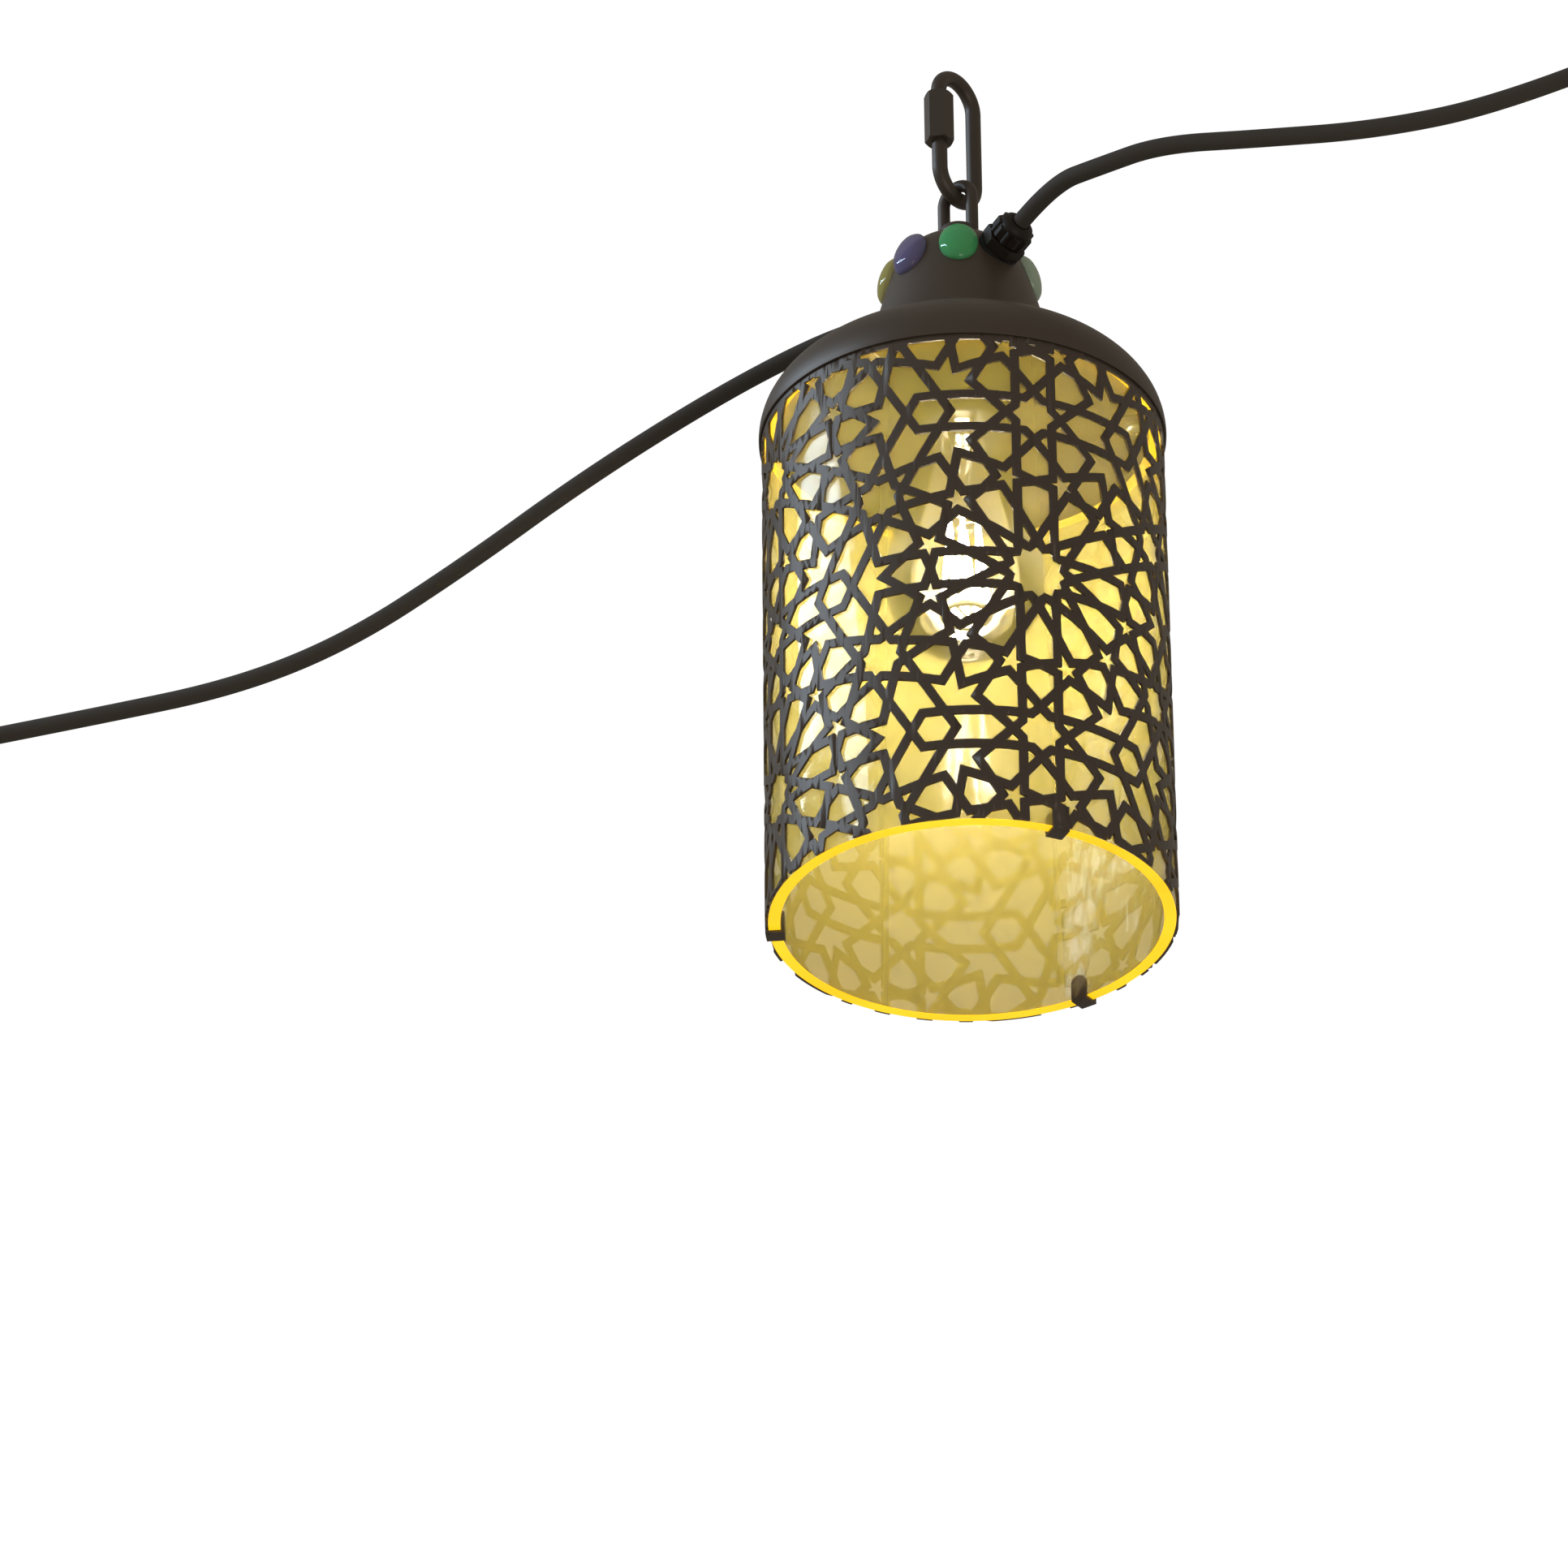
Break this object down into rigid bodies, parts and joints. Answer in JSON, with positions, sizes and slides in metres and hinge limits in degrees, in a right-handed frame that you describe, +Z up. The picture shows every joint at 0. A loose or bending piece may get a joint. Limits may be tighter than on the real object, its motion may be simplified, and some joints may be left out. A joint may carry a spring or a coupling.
{
  "type": "hanging lantern",
  "caption": "Hanging electric lantern: star-pattern metal sleeve round a yellow acrylic tube, domed cap with glass gems, screw link and two cables.",
  "frame": {"origin": "inside face of the quick link's upper bow, on the lantern's axis, where the lantern hangs", "axes": "+Z up along the lantern's axis, -Y towards the side seen from the front, +X to the right"},
  "size_m": [0.7363, 0.313, 0.3793],
  "materials": {
    "bronze": "satin dark bronze powder coat",
    "bronze_loop": "satin dark bronze",
    "bronze_link": "dark bronze paint over steel",
    "yellow_acrylic": "clear fluorescent yellow acrylic",
    "rubber": "matt",
    "zinc_steel": "zinc plated",
    "black_phenolic": "moulded phenolic",
    "brass": "turned",
    "clear_glass": "clear",
    "nickel": "nickel plated",
    "filament": "phosphor-coated filaments",
    "live_sleeve": "brown core",
    "neutral_sleeve": "blue core",
    "earth_sleeve": "green and yellow core",
    "cable_rubber": "dark brown rubber jacket",
    "connector_plastic": "black moulded nylon",
    "gland_plastic": "dark moulded nylon",
    "green_glass": "opal green",
    "indigo_glass": "indigo",
    "olive_glass": "olive yellow",
    "pale_green_glass": "pale sea green"
  },
  "bodies": {
    "link": {"quick_link_body": "bronze_link"},
    "lantern": {"cap": "bronze", "sleeve": "bronze", "top_loop": "bronze_loop", "acrylic_tube": "yellow_acrylic", "seal_washer": "rubber", "gland_gaskets": "rubber", "shade_posts": "zinc_steel", "shade_screws": "zinc_steel", "lampholder_cap": "black_phenolic", "lampholder_body": "black_phenolic", "lampholder_shell": "brass", "lampholder_contact": "brass", "nipple": "brass", "nipple_lock_nut": "zinc_steel", "live_wires": "live_sleeve", "neutral_wires": "neutral_sleeve", "earth_wires": "earth_sleeve", "earth_screw": "brass", "cable_right": "cable_rubber", "cable_left": "cable_rubber", "plug_body": "connector_plastic", "plug_rear_nut": "connector_plastic", "plug_pins": "nickel", "socket_body": "connector_plastic", "socket_rear_nut": "connector_plastic", "socket_contacts": "nickel", "gland_body_right": "gland_plastic", "gland_seal_right": "rubber", "gland_lock_nut_right": "gland_plastic", "gland_body_left": "gland_plastic", "gland_seal_left": "rubber", "gland_lock_nut_left": "gland_plastic", "gem_front_green": "green_glass", "gem_front_left_indigo": "indigo_glass", "gem_left_olive": "olive_glass", "gem_right_pale_green": "pale_green_glass", "gem_rear_right_indigo": "indigo_glass", "gem_rear_green": "green_glass"},
    "link_nut": {"quick_link_nut": "bronze_link"},
    "bulb": {"bulb_globe": "clear_glass", "bulb_base": "nickel", "bulb_insulator": "black_phenolic", "bulb_contact": "nickel", "bulb_stem": "clear_glass", "bulb_filaments": "filament", "bulb_filament_frame": "nickel"},
    "gland_nut_right": {"gland_nut_right": "gland_plastic"},
    "gland_nut_left": {"gland_nut_left": "gland_plastic"},
    "coupling_ring": {"plug_coupling_ring": "connector_plastic"}
  },
  "joints": [
    {"name": "lantern_swing", "type": "hinge", "parent": "link", "child": "lantern", "pos_m": [0, 0, -0.0522], "axis": [0.6428, 0.766, 0], "range_deg": [-40, 40]},
    {"name": "link_nut_travel", "type": "slide", "parent": "link", "child": "link_nut", "axis": [0, 0, -1], "range_m": [0, 0.0103]},
    {"name": "bulb_unscrew", "type": "hinge", "parent": "lantern", "child": "bulb", "pos_m": [0, 0, -0.142], "axis": [0, 0, -1], "range_deg": [0, 1080]},
    {"name": "gland_nut_right_turn", "type": "hinge", "parent": "lantern", "child": "gland_nut_right", "pos_m": [0.01499, -0.02063, -0.0885], "axis": [0.5621, -0.7737, 0.2924], "range_deg": [0, 720]},
    {"name": "gland_nut_left_turn", "type": "hinge", "parent": "lantern", "child": "gland_nut_left", "pos_m": [-0.01499, 0.02063, -0.0885], "axis": [-0.5621, 0.7737, 0.2924], "range_deg": [0, 720]},
    {"name": "coupling_ring_turn", "type": "hinge", "parent": "lantern", "child": "coupling_ring", "pos_m": [0.237, -0.105, -0.066], "axis": [0.9337, -0.1601, 0.3201], "range_deg": [0, 720]}
  ]
}
